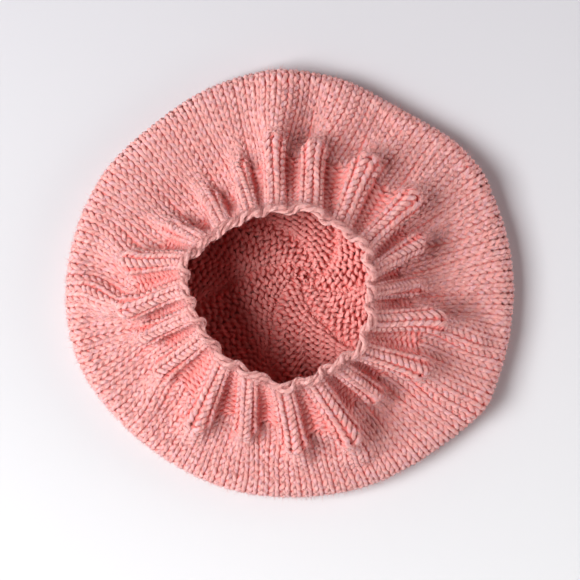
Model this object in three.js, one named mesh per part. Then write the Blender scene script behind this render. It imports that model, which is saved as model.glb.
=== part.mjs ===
// Knit beret lying upside down on its crown, with the opening upwards.
// Millimetres, +Z up. The origin is on the surface it lies on, under the middle of its box.
// The cloth is one bag: cast-on edge, ribbed band, gathered body, rim and flat crown.

import * as THREE from 'three';
import { ParametricGeometry } from 'three/addons/geometries/ParametricGeometry.js';
import { mergeVertices } from 'three/addons/utils/BufferGeometryUtils.js';

// Cloth and main heights, measured to the middle of the wall
const WALL = 4.2;            // thickness of the knitted cloth
const EDGE_HEIGHT = 54;      // top of the band, under the cast-on edge
const JOIN_HEIGHT = 33;      // rib ends, where the band meets the body
const RIM_ROLL = 8;          // radius that the cloth rolls round at the rim
const CAST_ON_RADIUS = 3;    // cast-on strand
const GAP = 0.3;             // clearance between neighbouring pieces

// Places in plan
const OPENING = { x: -3, y: -4.41 };        // middle of the opening
const CROWN_MIDDLE = { x: 10.5, y: 4.24 };  // closed end of the crown
const RIM_START_DEG = 3.5;                  // where the first rib's columns reach the rim
const RIM_SKEW = { degrees: 2.4, at: 56 };  // columns crowd on the side where the rim is nearer
const RIM_OVAL_DEG = 0.6;                   // and at the two ends of the rim's longer axis

// Relief of the cloth, along its own normal
const RIB_RELIEF = 1.3;      // ribs above the valleys between them, at the opening
const GATHER_RELIEF = 3.2;   // rib ends, where the body's extra stitches are gathered
const RISE_END = 0.6;        // share of the band over which the relief grows from one to the other
const GATHER_FADE = 0.12;    // share of the body over which the gathers die away
const GATHER_END = 1.2;      // gathers are gone here, 1 being the top of the rim
const VALLEY_DIP = 8;        // valleys end this much nearer the opening than the ribs
const TIP_RISE = 0.5;        // longer ribs end higher: millimetres up for each millimetre out
const TIP_MIDDLE = 80;       // and a rib that ends at this radius ends at the join height
const EDGE_SPREAD = 0.05;    // knit columns are wider than the purl columns at the opening
const TIP_SPREAD = -0.045;   // and narrower at the rib ends, where the valleys fan out
const RIB_SQUARE = 0.12;     // flattens the tops of the ribs and the floors of the valleys
const JOIN_SLOPE_DEG = 36;   // fall of the cloth at the rib ends
const EDGE_SLOPE_DEG = 52;   // fall of the cloth at the opening

// One row for each rib: angle and radius at the opening, angle and radius of the rib's end, radius
// of the rim below it, and the share of the full relief that it has. Angles turn from +X to +Y.
const RIBS = [
  { edgeDeg: 0, edgeR: 48, tipDeg: 2, tipR: 72, rimR: 129.5, rise: 1 },
  { edgeDeg: 13, edgeR: 49, tipDeg: 20, tipR: 78, rimR: 129.5, rise: 1 },
  { edgeDeg: 30, edgeR: 51, tipDeg: 36, tipR: 88, rimR: 128.5, rise: 1 },
  { edgeDeg: 50, edgeR: 47.5, tipDeg: 57, tipR: 86, rimR: 122, rise: 1 },
  { edgeDeg: 73, edgeR: 47.5, tipDeg: 78, tipR: 82, rimR: 124, rise: 1 },
  { edgeDeg: 97, edgeR: 46, tipDeg: 94, tipR: 84, rimR: 125, rise: 0.9 },
  { edgeDeg: 113, edgeR: 47, tipDeg: 110, tipR: 73, rimR: 122.5, rise: 0.6 },
  { edgeDeg: 133, edgeR: 48.5, tipDeg: 129, tipR: 67, rimR: 120, rise: 0.5 },
  { edgeDeg: 149, edgeR: 52, tipDeg: 150, tipR: 72, rimR: 122, rise: 0.6 },
  { edgeDeg: 163, edgeR: 57, tipDeg: 169, tipR: 88, rimR: 122.5, rise: 0.9 },
  { edgeDeg: 179, edgeR: 55, tipDeg: 186, tipR: 89, rimR: 123.5, rise: 1 },
  { edgeDeg: 194, edgeR: 51.5, tipDeg: 197, tipR: 80.5, rimR: 123, rise: 1 },
  { edgeDeg: 209, edgeR: 50, tipDeg: 213, tipR: 81, rimR: 118.5, rise: 1 },
  { edgeDeg: 229, edgeR: 50, tipDeg: 236, tipR: 88, rimR: 116, rise: 1 },
  { edgeDeg: 247, edgeR: 49.5, tipDeg: 254, tipR: 80.5, rimR: 116, rise: 1 },
  { edgeDeg: 269, edgeR: 52.5, tipDeg: 274, tipR: 86, rimR: 116.5, rise: 1 },
  { edgeDeg: 288, edgeR: 51, tipDeg: 294, tipR: 90, rimR: 119.5, rise: 1 },
  { edgeDeg: 306, edgeR: 49.5, tipDeg: 311, tipR: 76, rimR: 123.5, rise: 1 },
  { edgeDeg: 322, edgeR: 52.5, tipDeg: 330, tipR: 87, rimR: 130.5, rise: 1 },
  { edgeDeg: 342, edgeR: 50.5, tipDeg: 349, tipR: 87, rimR: 129.5, rise: 1 },
];

// The swelling just before the rib ends and the sunk round just beyond them: place along the cloth,
// height and width.
const LIPS = [
  { at: 0.92, height: 1.8, width: 0.13 },
  { at: 1.32, height: -3.4, width: 0.26 },
];

// One row for each long fold of the body: its angle at the rib ends and at the rim, its height
// (a furrow is below zero), half its width, and how far it runs, 1 being the top of the rim.
const FOLDS = [
  { tipDeg: 18, rimDeg: 18, height: -3, spreadDeg: 8, reach: 0.9 },
  { tipDeg: 35, rimDeg: 31, height: 3, spreadDeg: 6, reach: 1.6 },
  { tipDeg: 60, rimDeg: 58, height: -3, spreadDeg: 6, reach: 1.2 },
  { tipDeg: 73, rimDeg: 72, height: 3, spreadDeg: 5, reach: 1.2 },
  { tipDeg: 83, rimDeg: 82, height: -4, spreadDeg: 5, reach: 1.2 },
  { tipDeg: 95, rimDeg: 91, height: 4.5, spreadDeg: 6, reach: 1.45 },
  { tipDeg: 176, rimDeg: 174, height: -3, spreadDeg: 4, reach: 1.2 },
  { tipDeg: 187, rimDeg: 180, height: 5.5, spreadDeg: 4, reach: 1.2 },
  { tipDeg: 219, rimDeg: 220, height: 2.5, spreadDeg: 5, reach: 1.0 },
  { tipDeg: 226, rimDeg: 227, height: -2.5, spreadDeg: 5, reach: 1.0 },
  { tipDeg: 237, rimDeg: 240, height: 3, spreadDeg: 5, reach: 0.7 },
  { tipDeg: 276, rimDeg: 277, height: 3, spreadDeg: 4, reach: 0.7 },
  { tipDeg: 295, rimDeg: 298, height: 4, spreadDeg: 5, reach: 0.9 },
  { tipDeg: 311, rimDeg: 312, height: -3, spreadDeg: 8, reach: 0.7 },
  { tipDeg: 330, rimDeg: 330, height: 3, spreadDeg: 5, reach: 1.55 },
  { tipDeg: 349, rimDeg: 345, height: 5, spreadDeg: 4.5, reach: 1.1 },
  { tipDeg: 356, rimDeg: 354, height: -3.5, spreadDeg: 4, reach: 1.1 },
];
const FOLD_FADE = 0.4;       // share of the body over which a fold starts or dies away

// Places along the cloth, from the opening round to the closed end
const EDGE = 0;
const TIP = 1;
const RIM_TOP = 2;
const RIM_SIDE = 2.5;
const RIM_UNDER = 3;
const CLOSED_END = 4;

// Mesh steps: round the hat, and along each piece
const STEPS_PER_RIB = 6;
const SLICES = RIBS.length * STEPS_PER_RIB;
const CAST_ON_SIDES = 6;
const BAND_STATIONS = [TIP, 0.88, 0.7, 0.45, 0.22, EDGE];
const BODY_STATIONS = [RIM_SIDE, 2.33, 2.17, RIM_TOP, 1.75, 1.55, 1.36, 1.2, 1.08, TIP];
const CROWN_STATIONS = [CLOSED_END, 3.5, RIM_UNDER, 2.83, 2.67, RIM_SIDE];
const PROBE = 0.02;          // step that directions on the cloth are measured over

const RIB_DEG = 360 / RIBS.length;
const RIM_TOP_HEIGHT = WALL / 2 + 2 * RIM_ROLL;
const radians = THREE.MathUtils.degToRad;
const { lerp, smoothstep, euclideanModulo } = THREE.MathUtils;

// Smooth closed curve through one column of the rib table; rib 1.5 is midway between two rows.
function ribColumn(name, rib, turn = 0) {
  const first = Math.floor(rib);
  const [a, b, c, d] = [-1, 0, 1, 2].map((step) => {
    const row = first + step;
    return RIBS[euclideanModulo(row, RIBS.length)][name] + turn * Math.floor(row / RIBS.length);
  });
  const f = rib - first;
  const slope = (c - a) / 2;
  const bend = a - 2.5 * b + 2 * c - d / 2;
  const twist = (d - a) / 2 + 1.5 * (b - c);
  return b + f * (slope + f * (bend + f * twist));
}

// Point at a radius and angle about the opening's middle.
function polar(radius, degrees, height) {
  const angle = radians(degrees);
  return new THREE.Vector3(
    OPENING.x + radius * Math.cos(angle), OPENING.y + radius * Math.sin(angle), height);
}

// 1 along the flat top of a rib, -1 in the valley between two.
function ridge(rib) {
  const turn = 2 * Math.PI * rib;
  return (Math.cos(turn) - RIB_SQUARE * Math.cos(3 * turn)) / (1 - RIB_SQUARE);
}

// Rib coordinate with the knit columns spread, or drawn together where the share is below zero.
const spread = (rib, share) => rib + share * Math.sin(2 * Math.PI * rib);

const edgeAngle = (rib) => ribColumn('edgeDeg', spread(rib, EDGE_SPREAD), 360);
const tipAngle = (rib) => ribColumn('tipDeg', spread(rib, TIP_SPREAD), 360);

function rimAngle(rib) {
  const even = RIM_START_DEG + RIB_DEG * rib;
  const skew = RIM_SKEW.degrees * Math.sin(radians(even - RIM_SKEW.at));
  return even - skew - RIM_OVAL_DEG * Math.sin(radians(2 * even));
}

// Where one column of stitches passes the opening, the rib end and the top of the rim.
function columnPlaces(rib) {
  const edge = polar(ribColumn('edgeR', rib), edgeAngle(rib), EDGE_HEIGHT);
  const reach = ribColumn('tipR', rib);
  const tipRadius = reach - VALLEY_DIP * (1 - ridge(rib)) / 2;
  const tip = polar(tipRadius, tipAngle(rib), JOIN_HEIGHT + TIP_RISE * (reach - TIP_MIDDLE));
  const rim = polar(ribColumn('rimR', rib) - WALL / 2 - RIM_ROLL, rimAngle(rib), RIM_TOP_HEIGHT);
  return { edge, tip, rim };
}

// Tangent that runs outwards in plan and falls at an angle.
function fall(outwards, degrees, length) {
  const along = outwards.clone().setZ(0).normalize().multiplyScalar(Math.cos(radians(degrees)));
  return along.setZ(-Math.sin(radians(degrees))).multiplyScalar(length);
}

// Cubic from one point and tangent to another.
function bend(from, leaving, to, arriving, t) {
  const point = from.clone().multiplyScalar((1 + 2 * t) * (1 - t) ** 2);
  point.addScaledVector(leaving, t * (1 - t) ** 2);
  point.addScaledVector(to, t * t * (3 - 2 * t));
  return point.addScaledVector(arriving, t * t * (t - 1));
}

// Middle of the smooth cloth, before ribs, gathers and folds.
function smoothCloth(rib, along) {
  const { edge, tip, rim } = columnPlaces(rib);
  const outwards = rim.clone().sub(edge);
  if (along <= TIP) {
    const length = edge.distanceTo(tip);
    const leaving = fall(outwards, EDGE_SLOPE_DEG, length);
    return bend(edge, leaving, tip, fall(outwards, JOIN_SLOPE_DEG, length), along);
  }
  if (along <= RIM_TOP) {
    const length = tip.distanceTo(rim);
    const leaving = fall(outwards, JOIN_SLOPE_DEG, length);
    return bend(tip, leaving, rim, fall(outwards, 0, length), along - TIP);
  }
  const roll = Math.min(along - RIM_TOP, 1) * Math.PI;
  const away = polar(RIM_ROLL, rimAngle(rib), 0).sub(polar(0, 0, 0));
  const rolled = rim.addScaledVector(away, Math.sin(roll));
  rolled.z += RIM_ROLL * (Math.cos(roll) - 1);
  const inwards = Math.max(along - RIM_UNDER, 0);
  return rolled.lerp(new THREE.Vector3(CROWN_MIDDLE.x, CROWN_MIDDLE.y, rolled.z), inwards);
}

// Direction along the smooth cloth, from the opening to the closed end.
function clothTangent(rib, along) {
  const from = smoothCloth(rib, Math.max(along - PROBE, EDGE));
  return smoothCloth(rib, along + PROBE).sub(from).normalize();
}

// Outward normal of the smooth cloth.
function clothNormal(rib, along) {
  const at = Math.min(along, CLOSED_END - 2 * PROBE);
  const across = smoothCloth(rib + PROBE, at).sub(smoothCloth(rib - PROBE, at));
  return clothTangent(rib, at).cross(across).normalize();
}

// Height of the ribs, gathers and folds over the smooth cloth.
function relief(rib, along) {
  const out = Math.max(along - TIP, 0);
  const full = lerp(RIB_RELIEF, GATHER_RELIEF, smoothstep(along, EDGE, RISE_END));
  const fade = Math.exp(-out / GATHER_FADE) * (1 - smoothstep(out, GATHER_END / 2, GATHER_END));
  let height = ridge(rib) * ribColumn('rise', rib) * full * fade;
  for (const lip of LIPS) {
    height += lip.height * Math.exp(-(((along - lip.at) / lip.width) ** 2));
  }
  const degrees = lerp(tipAngle(rib), rimAngle(rib), Math.min(out, 1));
  for (const fold of FOLDS) {
    const middle = lerp(fold.tipDeg, fold.rimDeg, Math.min(out, 1));
    const off = (euclideanModulo(degrees - middle + 180, 360) - 180) / fold.spreadDeg;
    const start = smoothstep(out, 0, FOLD_FADE);
    const end = 1 - smoothstep(out, fold.reach - FOLD_FADE, fold.reach);
    height += fold.height * Math.exp(-off * off) * start * end;
  }
  return height;
}

// Point in the wall: side 1 is the outside of the bag, -1 the inside, 0 the middle.
function cloth(rib, along, side) {
  const height = relief(rib, along) + side * WALL / 2;
  return smoothCloth(rib, along).addScaledVector(clothNormal(rib, along), height);
}

// Closed body from a surface of rings: seam and poles welded, each square split along its shorter
// diagonal so that the facing ends of two pieces match, and collapsed triangles dropped.
function closedBody(rings, ringPoint) {
  const surface = new ParametricGeometry((u, v, target) => {
    target.copy(ringPoint(u * RIBS.length, Math.round(v * (rings - 1))));
  }, SLICES, rings - 1);
  surface.deleteAttribute('normal');
  surface.deleteAttribute('uv');
  const welded = mergeVertices(surface, 1e-4);
  const place = (i) => new THREE.Vector3().fromBufferAttribute(welded.attributes.position, i);
  const triangles = [];
  for (let i = 0; i < welded.index.count; i += 6) {
    const [a, b, d, c] = [0, 1, 2, 4].map((corner) => welded.index.getX(i + corner));
    const crossed = place(a).distanceTo(place(c)) < place(b).distanceTo(place(d));
    triangles.push(...(crossed ? [[a, b, c], [a, c, d]] : [[a, b, d], [b, c, d]]));
  }
  welded.setIndex(triangles.filter((corners) => new Set(corners).size === 3).flat());
  welded.computeVertexNormals();
  return welded;
}

// Wall between two ends of the cloth: along the outside, back along the inside, closed at the ends.
// Each end is set back from its neighbour by half the gap, and a closed end has poles instead.
function wallGeometry(stations) {
  const last = stations.length - 1;
  const shifts = stations.map(() => 0);
  shifts[0] = -GAP / 2;
  shifts[last] = GAP / 2;
  const outside = stations.map((along, i) => ({ along, side: 1, shift: shifts[i] }));
  const inside = stations.map((along, i) => ({ along, side: -1, shift: shifts[i] }));
  const loop = [...outside, ...inside.reverse()];
  if (stations[0] !== CLOSED_END) loop.push(loop[0]);
  return closedBody(loop.length, (rib, ring) => {
    const { along, side, shift } = loop[ring];
    const point = cloth(rib, along, side);
    return along === CLOSED_END ? point : point.addScaledVector(clothTangent(rib, along), shift);
  });
}

// Round strand that sits on the band's top edge and follows its ribs.
function castOnGeometry() {
  return closedBody(CAST_ON_SIDES + 1, (rib, ring) => {
    const back = clothTangent(rib, EDGE).negate();
    const angle = 2 * Math.PI * (ring % CAST_ON_SIDES) / CAST_ON_SIDES;
    const lift = CAST_ON_RADIUS * (1 + Math.cos(angle)) + GAP;
    const point = cloth(rib, EDGE, 0).addScaledVector(back, lift);
    return point.addScaledVector(clothNormal(rib, EDGE), -CAST_ON_RADIUS * Math.sin(angle));
  });
}

// Marled pink wool: the same yarn throughout, paler where it stands in the light at the edge.
function piece(name, geometry, colour) {
  const wool = new THREE.MeshStandardMaterial({ color: colour, roughness: 0.95, metalness: 0 });
  const mesh = new THREE.Mesh(geometry, wool);
  mesh.name = name;
  return mesh;
}

const beret = new THREE.Group();
beret.add(piece('cast_on_edge', castOnGeometry(), 0xf0b0a8));
beret.add(piece('ribbed_band', wallGeometry(BAND_STATIONS), 0xe8958c));
beret.add(piece('body', wallGeometry(BODY_STATIONS), 0xea9a92));
beret.add(piece('crown', wallGeometry(CROWN_STATIONS), 0xe08a84));

export default beret;
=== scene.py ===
"""Knit beret lying upside down on its crown, seen from above. Every stitch is a loop of wool yarn laid
on the cloth's form, which has the ribs, gathers and folds of the solids that it stands for."""

import bpy
import numpy as np
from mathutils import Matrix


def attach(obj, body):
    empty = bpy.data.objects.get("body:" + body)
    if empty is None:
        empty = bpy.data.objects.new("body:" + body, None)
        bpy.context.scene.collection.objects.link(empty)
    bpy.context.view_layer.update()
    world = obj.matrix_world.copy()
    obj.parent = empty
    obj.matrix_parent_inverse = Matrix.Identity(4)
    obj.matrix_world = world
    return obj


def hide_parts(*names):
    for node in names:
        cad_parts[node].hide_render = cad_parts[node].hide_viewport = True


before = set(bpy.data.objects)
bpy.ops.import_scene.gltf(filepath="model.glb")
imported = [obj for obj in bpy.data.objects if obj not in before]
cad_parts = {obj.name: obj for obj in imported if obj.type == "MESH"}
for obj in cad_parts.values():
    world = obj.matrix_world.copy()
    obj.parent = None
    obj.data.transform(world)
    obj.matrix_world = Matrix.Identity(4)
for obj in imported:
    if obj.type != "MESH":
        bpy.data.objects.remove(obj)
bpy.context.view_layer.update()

# Ribbed band
# Two-by-two rib in marled wool, knitted in the round from the opening outwards.
# Two columns of knit loops stand up as a rib, and the two purl columns between ribs sink back.
MM = 0.001

# The form, as in the solids: millimetres, degrees, and shares of the way along a stretch of the cloth.
WALL = 4.2
EDGE_HEIGHT = 54.0
JOIN_HEIGHT = 33.0
RIM_ROLL = 8.0
OPENING = (-3.0, -4.41)
CROWN_MIDDLE = (10.5, 4.24)
RIM_START_DEG = 3.5
RIM_SKEW_DEG = 2.4
RIM_SKEW_AT_DEG = 56.0
RIM_OVAL_DEG = 0.6
RIB_RELIEF = 1.3
GATHER_RELIEF = 3.2
GATHER_FULL_AT = 0.6
GATHER_FADE = 0.12
GATHER_END = 1.2
VALLEY_DIP = 8.0
TIP_RISE = 0.5
TIP_MIDDLE = 80.0
RIB_SPREADS = {"edge_deg": 0.05, "tip_deg": -0.045}
RIB_SQUARE = 0.12
LIP_HEIGHTS = (1.8, -3.4)
LIP_AT = (0.92, 1.32)
LIP_WIDTHS = (0.13, 0.26)
JOIN_SLOPE_DEG = 36.0
EDGE_SLOPE_DEG = 52.0
FOLD_FADE = 0.4
PROBE = 0.01

# A row for each rib: angle and radius at the opening, at the rib's end, the rim's radius (mm), and
# the share of the full relief that the rib has.
RIB_COLUMNS = ("edge_deg", "edge_r", "tip_deg", "tip_r", "rim_r", "rise")
RIB_ROWS = (
    (0, 48, 2, 72, 129.5, 1),
    (13, 49, 20, 78, 129.5, 1),
    (30, 51, 36, 88, 128.5, 1),
    (50, 47.5, 57, 86, 122, 1),
    (73, 47.5, 78, 82, 124, 1),
    (97, 46, 94, 84, 125, 0.9),
    (113, 47, 110, 73, 122.5, 0.6),
    (133, 48.5, 129, 67, 120, 0.5),
    (149, 52, 150, 72, 122, 0.6),
    (163, 57, 169, 88, 122.5, 0.9),
    (179, 55, 186, 89, 123.5, 1),
    (194, 51.5, 197, 80.5, 123, 1),
    (209, 50, 213, 81, 118.5, 1),
    (229, 50, 236, 88, 116, 1),
    (247, 49.5, 254, 80.5, 116, 1),
    (269, 52.5, 274, 86, 116.5, 1),
    (288, 51, 294, 90, 119.5, 1),
    (306, 49.5, 311, 76, 123.5, 1),
    (322, 52.5, 330, 87, 130.5, 1),
    (342, 50.5, 349, 87, 129.5, 1),
)
RIBS = len(RIB_ROWS)
ribs = {name: np.array(column, float) for name, column in zip(RIB_COLUMNS, zip(*RIB_ROWS))}

# A row for each long fold of the body: angle at the rib ends and at the rim, height (a furrow is
# below zero), half width in degrees, and how far it runs, 1 being the top of the rim.
FOLD_COLUMNS = ("tip_deg", "rim_deg", "height", "spread_deg", "reach")
FOLD_ROWS = (
    (18, 18, -3, 8, 0.9),
    (35, 31, 3, 6, 1.6),
    (60, 58, -3, 6, 1.2),
    (73, 72, 3, 5, 1.2),
    (83, 82, -4, 5, 1.2),
    (95, 91, 4.5, 6, 1.45),
    (176, 174, -3, 4, 1.2),
    (187, 180, 5.5, 4, 1.2),
    (219, 220, 2.5, 5, 1.0),
    (226, 227, -2.5, 5, 1.0),
    (237, 240, 3, 5, 0.7),
    (276, 277, 3, 4, 0.7),
    (295, 298, 4, 5, 0.9),
    (311, 312, -3, 8, 0.7),
    (330, 330, 3, 5, 1.55),
    (349, 345, 5, 4.5, 1.1),
    (356, 354, -3.5, 4, 1.1),
)


def rib_column(name, rib, turn=0.0):
    """Smooth closed curve through one column of the rib table."""
    first = np.floor(rib).astype(int)
    part = rib - first
    a, b, c, d = (
        ribs[name][(first + step) % RIBS] + turn * ((first + step) // RIBS) for step in (-1, 0, 1, 2)
    )
    twist = (d - a) / 2 + 1.5 * (b - c)
    return b + part * ((c - a) / 2 + part * (a - 2.5 * b + 2 * c - d / 2 + part * twist))


def ease(value, start, end):
    """0 before the start, 1 after the end and a smooth step between."""
    share = np.clip((value - start) / (end - start), 0, 1)
    return share * share * (3 - 2 * share)


def polar(radius, degrees, height):
    """Points about the middle of the opening."""
    angle = np.radians(degrees)
    x = OPENING[0] + radius * np.cos(angle)
    y = OPENING[1] + radius * np.sin(angle)
    return np.stack((x, y, height + 0 * x), axis=-1)


def ridge(rib):
    """1 along the flat top of a rib, -1 in the valley between two."""
    turn = 2 * np.pi * rib
    return (np.cos(turn) - RIB_SQUARE * np.cos(3 * turn)) / (1 - RIB_SQUARE)


def band_angle(name, rib):
    """Angle of a column in the band; its knit columns keep their width as the ribs fan out."""
    return rib_column(name, rib + RIB_SPREADS[name] * np.sin(2 * np.pi * rib), 360)


def rim_angle(rib):
    """Angle at which a column of stitches reaches the rim, whose middle is beside the opening's."""
    even = RIM_START_DEG + 360 / RIBS * rib
    skew = RIM_SKEW_DEG * np.sin(np.radians(even - RIM_SKEW_AT_DEG))
    return even - skew - RIM_OVAL_DEG * np.sin(np.radians(2 * even))


def column_places(rib):
    """Where a column of stitches passes the opening, the rib end and the top of the rim."""
    edge = polar(rib_column("edge_r", rib), band_angle("edge_deg", rib), EDGE_HEIGHT)
    reach = rib_column("tip_r", rib)
    height = JOIN_HEIGHT + TIP_RISE * (reach - TIP_MIDDLE)
    tip = polar(reach - VALLEY_DIP * (1 - ridge(rib)) / 2, band_angle("tip_deg", rib), height)
    rim_radius = rib_column("rim_r", rib) - WALL / 2 - RIM_ROLL
    rim = polar(rim_radius, rim_angle(rib), WALL / 2 + 2 * RIM_ROLL)
    return edge, tip, rim


def fall(outwards, degrees, length):
    """Tangent that runs outwards in plan and falls at an angle."""
    flat = outwards[..., :2] / np.linalg.norm(outwards[..., :2], axis=-1, keepdims=True)
    angle = np.radians(degrees)
    drop = np.full(flat.shape[:-1] + (1,), -np.sin(angle))
    return np.concatenate((flat * np.cos(angle), drop), axis=-1) * length


def bend(start, leaving, end, arriving, t):
    """Cubic from one point and tangent to another."""
    point = start * (1 + 2 * t) * (1 - t) ** 2 + leaving * t * (1 - t) ** 2
    return point + end * t * t * (3 - 2 * t) + arriving * t * t * (t - 1)


def smooth_cloth(rib, along):
    """Middle of the cloth without relief: 0 opening, 1 rib ends, 2 to 3 round the rim, 4 closed end."""
    edge, tip, rim = column_places(rib)
    outwards = rim - edge
    t = along[..., None]
    length = np.linalg.norm(tip - edge, axis=-1, keepdims=True)
    leaving = fall(outwards, EDGE_SLOPE_DEG, length)
    band = bend(edge, leaving, tip, fall(outwards, JOIN_SLOPE_DEG, length), np.minimum(t, 1))
    length = np.linalg.norm(rim - tip, axis=-1, keepdims=True)
    leaving = fall(outwards, JOIN_SLOPE_DEG, length)
    side = bend(tip, leaving, rim, fall(outwards, 0, length), np.clip(t - 1, 0, 1))
    roll = np.clip(t - 2, 0, 1) * np.pi
    away = polar(RIM_ROLL, rim_angle(rib), 0) - polar(0, rim_angle(rib), 0)
    rolled = rim + away * np.sin(roll)
    rolled[..., 2:] += RIM_ROLL * (np.cos(roll) - 1)
    middle = np.broadcast_to(np.array((*CROWN_MIDDLE, WALL / 2)), rolled.shape)
    crown = rolled + (middle - rolled) * np.clip(t - 3, 0, 1)
    return np.where(t <= 1, band, np.where(t <= 2, side, crown))


def relief(rib, along):
    """Height of the ribs, gathers and folds over the smooth cloth."""
    out = along - 1
    heights = RIB_RELIEF + (GATHER_RELIEF - RIB_RELIEF) * ease(along, 0, GATHER_FULL_AT)
    fade = np.exp(-np.maximum(out, 0) / GATHER_FADE) * (1 - ease(out, GATHER_END / 2, GATHER_END))
    height = ridge(rib) * rib_column("rise", rib) * heights * fade
    for lip, place, width in zip(LIP_HEIGHTS, LIP_AT, LIP_WIDTHS):
        height += lip * np.exp(-(((along - place) / width) ** 2))
    share = np.clip(out, 0, 1)
    tip_deg = band_angle("tip_deg", rib)
    degrees = tip_deg + (rim_angle(rib) - tip_deg) * share
    for row in FOLD_ROWS:
        fold = dict(zip(FOLD_COLUMNS, row))
        middle = fold["tip_deg"] + (fold["rim_deg"] - fold["tip_deg"]) * share
        off = ((degrees - middle + 180) % 360 - 180) / fold["spread_deg"]
        run = ease(out, 0, FOLD_FADE) * (1 - ease(out, fold["reach"] - FOLD_FADE, fold["reach"]))
        height += fold["height"] * np.exp(-off * off) * run
    return height


def unit(vectors):
    """Vectors of length 1."""
    return vectors / np.maximum(np.linalg.norm(vectors, axis=-1, keepdims=True), 1e-9)


def surface_normal(surface, rib, along):
    """Outward normal of a surface of the cloth."""
    at = np.minimum(along, 4 - 2 * PROBE)
    across = surface(rib + PROBE, at) - surface(rib - PROBE, at)
    down = surface(rib, at + PROBE) - surface(rib, at - PROBE)
    return unit(np.cross(down, across))


def cloth(rib, along):
    """Middle of the cloth with its ribs, gathers and folds."""
    normal = surface_normal(smooth_cloth, rib, along)
    return smooth_cloth(rib, along) + normal * relief(rib, along)[..., None]


# Rows of knitting, counted from the opening, and stitches to a rib.
BAND_ROWS = 11
OUTER_ROWS = 42
BAND_STITCHES = 4
BODY_STITCHES = 6


def row_place(row, rib):
    """Place along the cloth of a row: even in the band, and even from the rib ends to the closed end."""
    _, tip, rim = column_places(rib)
    side = np.linalg.norm(rim - tip, axis=-1)
    roll = np.pi * RIM_ROLL
    flat = np.linalg.norm(rim[..., :2] - np.array(CROWN_MIDDLE), axis=-1)
    run = (side + roll + flat) * (row - BAND_ROWS) / OUTER_ROWS
    beyond_side = np.where(run < side + roll, 2 + (run - side) / roll, 3 + (run - side - roll) / flat)
    return np.where(row < BAND_ROWS, row / BAND_ROWS, np.where(run < side, 1 + run / side, beyond_side))


# One stitch is a loop of yarn: its legs lie in front in a knit stitch and behind in a purl stitch.
# Swell, roughness and flatness are shares of the yarn's radius. Lean, pull, skew and reach are shares of
# a stitch or a row, and so are the first two jitters. The other sizes are in millimetres.
YARN_SWELL = 0.08
YARN_ROUGH = 0.03
YARN_FLAT = 0.8
YARN_SIDES = 6
LOOP_LEAN = 0.2
LOOP_PULL = 0.03
LOOP_SKEW = 0.1
LOOP_REACH = 0.77
LOOP_BUMP = 4
LOOP_SEGMENTS = 16
# Purl valleys sink back, which also lowers their relief and so mixes in more painted groove shade.
VALLEY_SINK = 0.6
FULL_RELIEF = 2.0
JITTER = (0.02, 0.03, 0.07)
TABLE_GAP = 0.05
random = np.random.default_rng(7)


def knit_row(
    row, stitches, place, radius, depth, facing=None, bump=LOOP_BUMP, segments=LOOP_SEGMENTS, skew=LOOP_SKEW
):
    """Path, cloth normals, radii and heights in the cloth of a row; place gives rib, row and height."""
    t = np.tile(np.arange(segments) * 2 * np.pi / segments, stitches)
    stitch = np.repeat(np.arange(stitches), segments)
    head = np.sin(t / 2) ** 2
    wander = [random.normal(0, size, stitches)[stitch] * head for size in JITTER]
    across = stitch + t / (2 * np.pi) + LOOP_PULL * np.sin(t) + skew * np.cos(t) + wander[0]
    across += LOOP_LEAN * np.sin(2 * t)
    up = row + 0.5 - LOOP_REACH * np.cos(t) + wander[1]
    front = depth * (1 - 2 * np.abs(np.cos(t)) ** bump)
    if facing is not None:
        face = facing(across)
        front = front * face - VALLEY_SINK * (1 - face) / 2
    rib, up, lift = place(across, up)
    along = row_place(up, rib)
    normal = surface_normal(cloth, rib, along)
    path = cloth(rib, along) + normal * (front + lift + wander[2])[:, None]
    thickness = 1 - YARN_SWELL * np.cos(2 * t) + random.normal(0, YARN_ROUGH, len(t))
    return path, normal, radius * thickness, front


def new_piece(name, node, corners, faces, uvs, relief_share):
    """Mesh piece of the hat from arrays in millimetres, with its UV map and its relief for the wool."""
    mesh = bpy.data.meshes.new(name)
    mesh.vertices.add(len(corners))
    mesh.vertices.foreach_set("co", (corners * MM).ravel())
    mesh.loops.add(faces.size)
    mesh.loops.foreach_set("vertex_index", faces.ravel())
    mesh.polygons.add(len(faces))
    mesh.polygons.foreach_set("loop_start", np.arange(0, faces.size, faces.shape[1]))
    mesh.update(calc_edges=True)
    mesh.shade_smooth()
    mesh.uv_layers.new(name="yarn").data.foreach_set("uv", uvs.ravel())
    mesh.attributes.new("relief", "FLOAT", "POINT").data.foreach_set("value", relief_share)
    mesh.materials.append(wool)
    piece = bpy.data.objects.new(name, mesh)
    bpy.context.scene.collection.objects.link(piece)
    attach(piece, "root")
    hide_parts(node)


def yarn_sides(path, normal):
    """Directions along the yarn, across it in the cloth, and out of the cloth."""
    run = unit(np.roll(path, -1, axis=0) - np.roll(path, 1, axis=0))
    side = unit(np.cross(run, normal))
    return run, side, np.cross(side, run)


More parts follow.
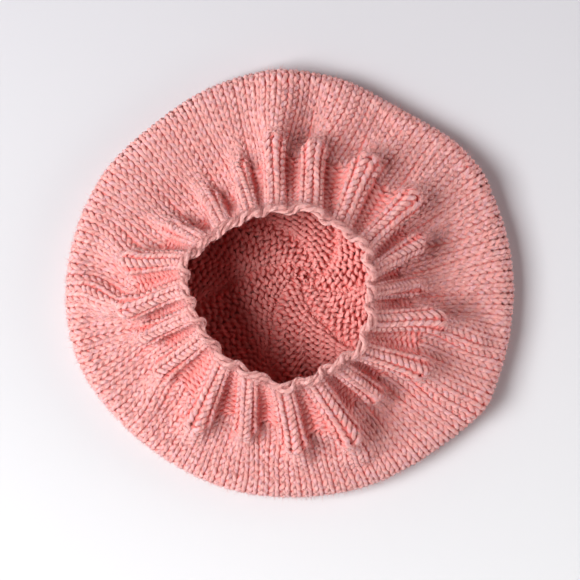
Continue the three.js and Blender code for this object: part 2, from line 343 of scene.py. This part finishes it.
def yarn_piece(name, node, rows, sides=YARN_SIDES):
    """Closed rounds of yarn; the UV map has millimetres along and rounds across."""
    corners, quads, uvs, shares = [], [], [], []
    start = 0
    for number, (path, normal, radius, front) in enumerate(rows):
        rings = len(path)
        _, side, lift = yarn_sides(path, normal)
        turn = np.arange(sides)[:, None] * 2 * np.pi / sides
        wide = side[:, None] * np.cos(turn) + lift[:, None] * YARN_FLAT * np.sin(turn)
        ring = path[:, None] + wide * radius[:, None, None]
        ring[..., 2] = np.maximum(ring[..., 2], TABLE_GAP)
        corners.append(ring.reshape(-1, 3))
        outside = front[:, None] + YARN_FLAT * radius[:, None] * np.sin(turn[:, 0])
        shares.append(outside.ravel() / FULL_RELIEF)
        i, j = np.meshgrid(np.arange(rings), np.arange(sides), indexing="ij")
        ahead, beside = (i + 1) % rings * sides, (j + 1) % sides
        quad = np.stack((i * sides + j, ahead + j, ahead + beside, i * sides + beside), -1)
        quads.append(start + quad.reshape(-1, 4))
        steps = np.linalg.norm(np.roll(path, -1, axis=0) - path, axis=1)
        run_mm = np.concatenate(((0,), np.cumsum(steps)))
        u = np.stack((run_mm[i], run_mm[i + 1], run_mm[i + 1], run_mm[i]), -1)
        v = number + np.stack((j, j, j + 1, j + 1), -1) / sides
        uvs.append(np.stack((u, v), -1).reshape(-1, 2))
        start += rings * sides
    new_piece(name, node, *(np.concatenate(part) for part in (corners, quads, uvs, shares)))


# Fibres fill the cloth between its loops, as a thin sheet. Its colour is mostly painted shade, the redder
# groove colour, and on the crown also the inside's painted light.
CORE_SLICES = 160
CORE_HALF = 0.2
core_ribs = np.arange(CORE_SLICES) * RIBS / CORE_SLICES


def core_piece(name, node, first, last, rings, lift, shade):
    """Closed sheet from row to row, lifted outwards from the middle of the wall; shade is its relief, which
    mixes in painted groove shade and, inside the hat, painted light.
    """
    row = np.linspace(first, last, rings)
    row, rib = np.meshgrid(np.concatenate((row, row[::-1])), core_ribs, indexing="ij")
    along = row_place(row, rib)
    offset = lift + np.repeat((CORE_HALF, -CORE_HALF), rings)[:, None]
    corners = cloth(rib, along) + surface_normal(cloth, rib, along) * (offset + 0 * rib)[..., None]
    i, j = np.meshgrid(np.arange(2 * rings), np.arange(CORE_SLICES), indexing="ij")
    ahead, beside = (i + 1) % (2 * rings) * CORE_SLICES, (j + 1) % CORE_SLICES
    start = i * CORE_SLICES
    faces = np.stack((start + j, start + beside, ahead + beside, ahead + j), -1).reshape(-1, 4)
    uvs = np.zeros((faces.size, 2))
    new_piece(name, node, corners.reshape(-1, 3), faces, uvs, np.full(row.size, shade))


# Stray fibres leave the yarn at random, most of them swept along it.
FIBRE_LENGTHS = (1.5, 4.5)
FIBRE_RADIUS = 0.08
FIBRE_ROOT = 0.7
FIBRE_SWEEP = 1.2
FIBRE_SCATTER = 0.4
FIBRE_UV_SPAN = 50


def fuzz_piece(name, node, rows, count, facing=1):
    """Stray fibres on one face of the cloth, 1 the outside and -1 the inside, each a thin closed spike."""
    path, _, radius, front = (np.concatenate(part) for part in zip(*rows))
    run, side, lift = (np.concatenate(part) for part in zip(*(yarn_sides(row[0], row[1]) for row in rows)))
    at = random.choice(np.flatnonzero(front * facing > 0), count)
    turn = random.uniform(0, np.pi, (count, 1))
    out = side[at] * np.cos(turn) + facing * lift[at] * np.sin(turn)
    sweep = run[at] * random.normal(0, FIBRE_SWEEP, (count, 1))
    lean = unit(out + sweep + random.normal(0, FIBRE_SCATTER, (count, 3)))
    base = path[at] + out * radius[at, None] * FIBRE_ROOT
    cross = unit(np.cross(lean, random.normal(0, 1, (count, 3))))
    other = np.cross(lean, cross)
    corners = [base + lean * random.uniform(*FIBRE_LENGTHS, (count, 1))]
    for angle in (0, 2 * np.pi / 3, 4 * np.pi / 3):
        corners.append(base + FIBRE_RADIUS * (cross * np.cos(angle) + other * np.sin(angle)))
    corners = np.stack(corners, axis=1)
    corners[..., 2] = np.maximum(corners[..., 2], TABLE_GAP)
    spike = np.array(((3, 2, 1), (0, 1, 2), (0, 2, 3), (0, 3, 1)))
    faces = (np.arange(count)[:, None, None] * 4 + spike).reshape(-1, 3)
    uvs = np.repeat(random.uniform(0, FIBRE_UV_SPAN, (count, 2)), spike.size, axis=0)
    new_piece(name, node, corners.reshape(-1, 3), faces, uvs, np.repeat(np.sign(front[at]), 4))


def linear(hex_colour):
    """Linear colour of an sRGB hex value."""
    parts = [int(hex_colour[i:i + 2], 16) / 255 for i in (0, 2, 4)]
    return [c / 12.92 if c <= 0.04045 else ((c + 0.055) / 1.055) ** 2.4 for c in parts] + [1.0]


def add_node(tree, kind, inputs, **settings):
    """Add a shader node, with a value or a link for each input given."""
    node = tree.nodes.new(kind)
    for name, value in settings.items():
        setattr(node, name, value)
    for name, value in inputs.items():
        if isinstance(value, bpy.types.NodeSocket):
            tree.links.new(value, node.inputs[name])
        else:
            node.inputs[name].default_value = value
    return node


# Marled wool yarn of three plies, salmon, pale pink and mauve, with a turn of twist every 7 mm: soft and
# matt, with a ridge for each ply and shades that change along the yarn. A redder colour between the loops
# is painted shade, and a brighter colour on the inside of the hat is painted light; both stand in for light
# that has passed through wool. It is paler on the cast-on edge. Ranges and starts are of relief, which is 0
# in the middle of the cloth, 1 outside and -1 inside.
SALMON = "e9aca7"
PALE = "ebc1bf"
MAUVE = "dfb5bd"
EDGE = "ecb9b4"
# Painted shade, mixed in between the loops.
GROOVE_PAINTED_SHADE = "f0908b"
# Painted light on the cloth's inner face, inside the hat.
INSIDE_PAINTED_LIGHT = "fcbab6"
PLIES = 3
PLY_PITCH = 7.0
PLY_STOPS = ((0.3, SALMON), (0.4, PALE), (0.6, PALE), (0.7, MAUVE), (0.9, MAUVE))
PLY_BUMP = 0.9
PLY_HEIGHT = 0.7
HEATHER_PER_MM = 0.12
INSIDE_PAINTED_RANGE = (0.1, -0.3)
PAINTED_SHADE_START = 0.7
PAINTED_SHADE_SHARE = 0.9
EDGE_RANGE = (1.1, 1.3)
EDGE_SHARE = 0.6

wool = bpy.data.materials.new("marled_wool")
wool.use_nodes = True
tree = wool.node_tree
shader = tree.nodes["Principled BSDF"]
uv = add_node(tree, "ShaderNodeUVMap", {}, uv_map="yarn")
parts = add_node(tree, "ShaderNodeSeparateXYZ", {0: uv.outputs[0]})
turns = add_node(tree, "ShaderNodeMath", {0: parts.outputs[0], 1: PLY_PITCH}, operation="DIVIDE")
twist = add_node(tree, "ShaderNodeMath", {0: parts.outputs[1], 1: turns.outputs[0]}, operation="SUBTRACT")
plies = add_node(tree, "ShaderNodeMath", {0: twist.outputs[0], 1: PLIES}, operation="MULTIPLY")
ply = add_node(tree, "ShaderNodeMath", {0: plies.outputs[0], 1: 1.0}, operation="PINGPONG")
strand = add_node(tree, "ShaderNodeMath", {0: twist.outputs[0]}, operation="FRACT")
ramp = add_node(tree, "ShaderNodeValToRGB", {0: strand.outputs[0]})
ramp.color_ramp.elements[0].color = linear(SALMON)
ramp.color_ramp.elements[1].color = linear(SALMON)
for position, colour in PLY_STOPS:
    ramp.color_ramp.elements.new(position).color = linear(colour)
heather = add_node(
    tree,
    "ShaderNodeTexNoise",
    {"Vector": uv.outputs[0], "Scale": HEATHER_PER_MM, "Detail": 3.0},
    noise_dimensions="2D",
)
mixed = add_node(
    tree, "ShaderNodeMix", {0: heather.outputs[0], 6: linear(SALMON), 7: ramp.outputs[0]}, data_type="RGBA"
)
relief_out = add_node(tree, "ShaderNodeAttribute", {}, attribute_name="relief").outputs["Fac"]
# Painted light: where the relief falls from 0.1 to -0.3, on the cloth's inner face and the crown's inner
# fibres, the brighter inside colour is mixed in for the light inside the hat.
painted_inside_mask = add_node(
    tree,
    "ShaderNodeMapRange",
    {"Value": relief_out, "From Min": INSIDE_PAINTED_RANGE[0], "From Max": INSIDE_PAINTED_RANGE[1]},
)
painted_inside_mix = add_node(
    tree, "ShaderNodeMix", {0: painted_inside_mask.outputs[0], 6: mixed.outputs[2], 7: linear(INSIDE_PAINTED_LIGHT)}, data_type="RGBA"
)
# Painted shade: the redder groove colour is mixed in where the relief is near 0, between the loops, in the
# purl valleys and on the core sheets.
away = add_node(tree, "ShaderNodeMath", {0: relief_out}, operation="ABSOLUTE")
painted_shade_mask = add_node(
    tree,
    "ShaderNodeMapRange",
    {"Value": away.outputs[0], "From Min": PAINTED_SHADE_START, "From Max": 0.0, "To Max": PAINTED_SHADE_SHARE},
)
painted_shade_mix = add_node(
    tree, "ShaderNodeMix", {0: painted_shade_mask.outputs[0], 6: painted_inside_mix.outputs[2], 7: linear(GROOVE_PAINTED_SHADE)}, data_type="RGBA"
)
raised = add_node(
    tree,
    "ShaderNodeMapRange",
    {"Value": relief_out, "From Min": EDGE_RANGE[0], "From Max": EDGE_RANGE[1], "To Max": EDGE_SHARE},
)
edged = add_node(
    tree, "ShaderNodeMix", {0: raised.outputs[0], 6: painted_shade_mix.outputs[2], 7: linear(EDGE)}, data_type="RGBA"
)
tree.links.new(edged.outputs[2], shader.inputs["Base Color"])
ply_ridges = add_node(
    tree, "ShaderNodeBump", {"Height": ply.outputs[0], "Strength": PLY_BUMP, "Distance": PLY_HEIGHT * MM}
)
tree.links.new(ply_ridges.outputs[0], shader.inputs["Normal"])
shader.inputs["Roughness"].default_value = 0.9
shader.inputs["Specular IOR Level"].default_value = 0.1
shader.inputs["Sheen Weight"].default_value = 0.35
shader.inputs["Sheen Roughness"].default_value = 0.5

BAND_YARN_RADIUS = 1.4
BAND_DEPTH = 0.95
BAND_SPREAD = 0.03
PURL_SHARPNESS = 1.8
BAND_CORE_RINGS = 8
BAND_CORE_LIFT = 0.2
BAND_CORE_PAINTED_SHADE = 0.1
BAND_FIBRES = 12000


def band_place(stitch, row):
    """Rib, row and height of a spot in the band; the first two stitches of four make the rib."""
    rib = (stitch - 1) / BAND_STITCHES
    return rib + BAND_SPREAD * np.sin(2 * np.pi * rib), row, 0


def band_face(stitch):
    """1 where a stitch is knit and -1 where it is purl."""
    return np.clip(PURL_SHARPNESS * np.cos(2 * np.pi * (stitch - 1) / BAND_STITCHES), -1, 1)


band_rows = [
    knit_row(row, RIBS * BAND_STITCHES, band_place, BAND_YARN_RADIUS, BAND_DEPTH, band_face)
    for row in range(BAND_ROWS)
]
yarn_piece("ribbed_band_knit", "ribbed_band", band_rows)
band_sink = VALLEY_SINK * (1 - band_face(1 + core_ribs * BAND_STITCHES)) / 2
band_lift = BAND_CORE_LIFT - band_sink
core_piece("ribbed_band_core", "ribbed_band", 0, BAND_ROWS, BAND_CORE_RINGS, band_lift, BAND_CORE_PAINTED_SHADE)
fuzz_piece("ribbed_band_fuzz", "ribbed_band", band_rows, BAND_FIBRES)

# Cast-on edge
# The first strand of the hat, in the same wool: three ends of yarn twisted round each other, one turn
# for every four stitches, that hold the loops of the first row.
STRANDS = 3
CAST_ON_TURNS = 20
CAST_ON_STEPS = 900
CAST_ON_WAVES = 90
STRAND_RADIUS = 1.6
STRAND_OFFSET = 1.3
STRAND_WANDER = 0.5
CAST_ON_LIFT = 2.6
CAST_ON_FIBRES = 14000
# Above every loop's relief, which gives the edge its paler shade.
CAST_ON_RELIEF = 2 * FULL_RELIEF

cast_on_rows = []
step = np.arange(CAST_ON_STEPS)
rib = step * RIBS / CAST_ON_STEPS
start = np.zeros(CAST_ON_STEPS)
normal = surface_normal(cloth, rib, start + PROBE)
back = unit(cloth(rib, start) - cloth(rib, start + PROBE))
wave_place = step * CAST_ON_WAVES / CAST_ON_STEPS
for strand in range(STRANDS):
    waves = random.normal(0, STRAND_WANDER, (CAST_ON_WAVES, 2))
    wander = [
        np.interp(wave_place, np.arange(CAST_ON_WAVES), wave, period=CAST_ON_WAVES) for wave in waves.T
    ]
    angle = 2 * np.pi * (strand / STRANDS - CAST_ON_TURNS * step / CAST_ON_STEPS)
    up = CAST_ON_LIFT + STRAND_OFFSET * np.cos(angle) + wander[0]
    out = STRAND_OFFSET * np.sin(angle) + wander[1]
    path = cloth(rib, start) + back * up[:, None] + normal * out[:, None]
    cast_on_rows.append((path, normal, start + STRAND_RADIUS, start + CAST_ON_RELIEF))
yarn_piece("cast_on_edge_braid", "cast_on_edge", cast_on_rows)
fuzz_piece("cast_on_edge_fuzz", "cast_on_edge", cast_on_rows, CAST_ON_FIBRES)

# Body
# Plain stockinette in the same wool, with two stitches more to each rib, so that it gathers where
# it leaves the band and lies in folds out to the rim.
BODY_ROWS = 12
GATHER_ROWS = 6
BODY_ROUND = RIBS * BODY_STITCHES
BODY_YARN_RADII = (1.3, 1.42)
BODY_DEPTH = 0.7
BODY_LIFT = 0.35
BODY_CORE_RINGS = 12
BODY_CORE_LIFT = 0.6
BODY_CORE_PAINTED_SHADE = 0.2
BODY_FIBRES = 28000
BODY_END = BAND_ROWS + BODY_ROWS


def body_place(stitch, row):
    """Rib, row and height of a spot in the body."""
    return stitch / BODY_STITCHES, row, BODY_LIFT


body_rows = [
    knit_row(BAND_ROWS + row, BODY_ROUND, body_place, radius, BODY_DEPTH)
    for row, radius in enumerate(np.linspace(*BODY_YARN_RADII, BODY_ROWS))
]
yarn_piece("body_gathers", "body", body_rows[:GATHER_ROWS])
yarn_piece("body_rim", "body", body_rows[GATHER_ROWS:])
core_piece("body_core", "body", BAND_ROWS, BODY_END, BODY_CORE_RINGS, BODY_CORE_LIFT, BODY_CORE_PAINTED_SHADE)
fuzz_piece("body_fuzz", "body", body_rows, BODY_FIBRES)

# Crown
# The same stockinette, closed by six lines of decreases that curl in to the middle. It lies flat
# on the table, with the wrong side of its stitches seen through the opening.
SECTORS = 6
SECTOR_STITCHES = 20
DECREASE_ROWS = 26
CROWN_YARN_RADIUS = 1.45
CROWN_DEPTH = 1.0
CROWN_BUMP = 6
CROWN_SKEW = 0.05
CURL = 1.85
FIRST_LINE = 11 / 6
LINE_GROOVE = 2.4
LINE_WIDTH = 0.6
# Least width, in stitches, of the stitch before a line, which makes room for the decrease.
LAST_STITCH = 0.3
CHORD_SCALE = 0.955
LAST_ROW = BAND_ROWS + OUTER_ROWS
OUTER_ROUNDS = 12
OUTER_SEGMENTS = 10
OUTER_SIDES = 4
INNER_SIDES = 5
CROWN_CORE_END = LAST_ROW - 0.5
CROWN_CORE_RINGS = 20
CROWN_CORE_LIFT = -1.0
CROWN_CORE_PAINTED_SHADE = -0.2
CROWN_FIBRES = 6000


def crown_place(stitches):
    """Rule for a round of so many stitches to a sector; its rows run straight from line to line."""
    def place(stitch, row):
        sector, count = np.divmod(stitch, stitches)
        left = np.clip(LAST_ROW - row, 1, DECREASE_ROWS)
        exact = SECTOR_STITCHES * left / DECREASE_ROWS
        share = np.minimum(count / exact, 1 - (stitches - count) * LAST_STITCH / exact)
        straight = 1 - ease(left, DECREASE_ROWS / 2, DECREASE_ROWS)
        chord_turn = np.arctan2(share * np.sqrt(0.75), 1 - share / 2) / (np.pi / 3)
        chord_reach = np.sqrt(1 - share + share * share) / CHORD_SCALE
        turn = share + (chord_turn - share) * straight
        reach = 1 + (chord_reach - 1) * straight
        curl = CURL * np.log(left / DECREASE_ROWS)
        beside = np.minimum(share, 1 - share) * stitches / LINE_WIDTH
        lift = -LINE_GROOVE * (1 - np.exp(-beside * beside)) * straight
        rib = FIRST_LINE + curl + (sector + turn) * RIBS / SECTORS
        return rib, LAST_ROW - (LAST_ROW - row) * reach, lift
    return place


crown_rows = []
for row in range(BODY_END, LAST_ROW):
    stitches = int(np.ceil(SECTOR_STITCHES * min(1, (LAST_ROW - row) / DECREASE_ROWS)))
    crown_rows.append(
        knit_row(
            row,
            SECTORS * stitches,
            crown_place(stitches),
            CROWN_YARN_RADIUS,
            CROWN_DEPTH,
            bump=CROWN_BUMP,
            segments=OUTER_SEGMENTS if len(crown_rows) < OUTER_ROUNDS else LOOP_SEGMENTS,
            skew=CROWN_SKEW,
        )
    )
yarn_piece("crown_outer_rounds", "crown", crown_rows[:OUTER_ROUNDS], OUTER_SIDES)
yarn_piece("crown_inner_rounds", "crown", crown_rows[OUTER_ROUNDS:], INNER_SIDES)
core_piece(
    "crown_core", "crown", BODY_END, CROWN_CORE_END, CROWN_CORE_RINGS, CROWN_CORE_LIFT, CROWN_CORE_PAINTED_SHADE
)
fuzz_piece("crown_fuzz", "crown", crown_rows, CROWN_FIBRES, facing=-1)

# Floor, light and camera
# A pale table top with painted shade, darker towards +y where the window light falls off, a wide soft
# window light from the left, a weak light off the right wall, and a white room that is dim overhead. The
# camera looks straight down, as the photograph does.
FLOOR_SIDE = 3.0
FLOOR_PAINTED_LIT = "e5e1e3"
FLOOR_PAINTED_SHADE = "d3ced2"
FLOOR_PAINTED_FADE = 0.17
ROOM_TOP = 0.75
ROOM_DIM = 0.05
LIGHT_SIDE = 1.2
CAMERA_LENS = 120.0
CAMERA_PLACE = (0.0001, -0.0037, 1.1)

# A row for each light: name, watts, colour, place in metres, and tilt and turn in degrees.
LIGHTS = (
    ("window", 38.5, (0.95, 1.0, 1.0), (-1.31, -0.23, 1.7), -38, 10),
    ("wall", 6.0, (1.0, 1.0, 1.0), (1.45, 0.2, 0.4), 75, 8),
)

bpy.ops.mesh.primitive_plane_add(size=FLOOR_SIDE)
floor = bpy.context.object
floor.name = "floor"
table_top = bpy.data.materials.new("table_top")
table_top.use_nodes = True
table_tree = table_top.node_tree
table_shader = table_tree.nodes["Principled BSDF"]
spot = add_node(table_tree, "ShaderNodeNewGeometry", {})
spot_parts = add_node(table_tree, "ShaderNodeSeparateXYZ", {0: spot.outputs["Position"]})
# Painted shade: the table top darkens towards +y, standing in for the window light falling off.
painted_falloff = add_node(
    table_tree,
    "ShaderNodeMapRange",
    {"Value": spot_parts.outputs[1], "From Min": -FLOOR_PAINTED_FADE, "From Max": FLOOR_PAINTED_FADE},
)
table_painted_falloff = add_node(
    table_tree,
    "ShaderNodeMix",
    {0: painted_falloff.outputs[0], 6: linear(FLOOR_PAINTED_LIT), 7: linear(FLOOR_PAINTED_SHADE)},
    data_type="RGBA",
)
table_tree.links.new(table_painted_falloff.outputs[2], table_shader.inputs["Base Color"])
table_shader.inputs["Roughness"].default_value = 0.9
floor.data.materials.append(table_top)

scene = bpy.context.scene
world = bpy.data.worlds.new("room")
world.use_nodes = True
world_tree = world.node_tree
room = world_tree.nodes["Background"]
room.inputs["Color"].default_value = (1.0, 1.0, 1.0, 1.0)
direction = add_node(world_tree, "ShaderNodeTexCoord", {})
direction_parts = add_node(world_tree, "ShaderNodeSeparateXYZ", {0: direction.outputs["Generated"]})
walls = add_node(
    world_tree,
    "ShaderNodeMapRange",
    {"Value": direction_parts.outputs[2], "From Max": ROOM_TOP, "To Min": 1.0, "To Max": ROOM_DIM},
)
world_tree.links.new(walls.outputs[0], room.inputs["Strength"])
scene.world = world

for name, watts, colour, place, tilt, turn in LIGHTS:
    light = bpy.data.lights.new(name, "AREA")
    light.size = LIGHT_SIDE
    light.energy = watts
    light.color = colour
    lamp = bpy.data.objects.new(name, light)
    lamp.location = place
    lamp.rotation_euler = (0.0, np.radians(tilt), np.radians(turn))
    scene.collection.objects.link(lamp)

camera = bpy.data.cameras.new("camera")
camera.lens = CAMERA_LENS
camera_object = bpy.data.objects.new("camera", camera)
camera_object.location = CAMERA_PLACE
scene.collection.objects.link(camera_object)
scene.camera = camera_object
scene.cycles.diffuse_bounces = 12
scene.view_settings.view_transform = "Standard"
scene.view_settings.look = "High Contrast"
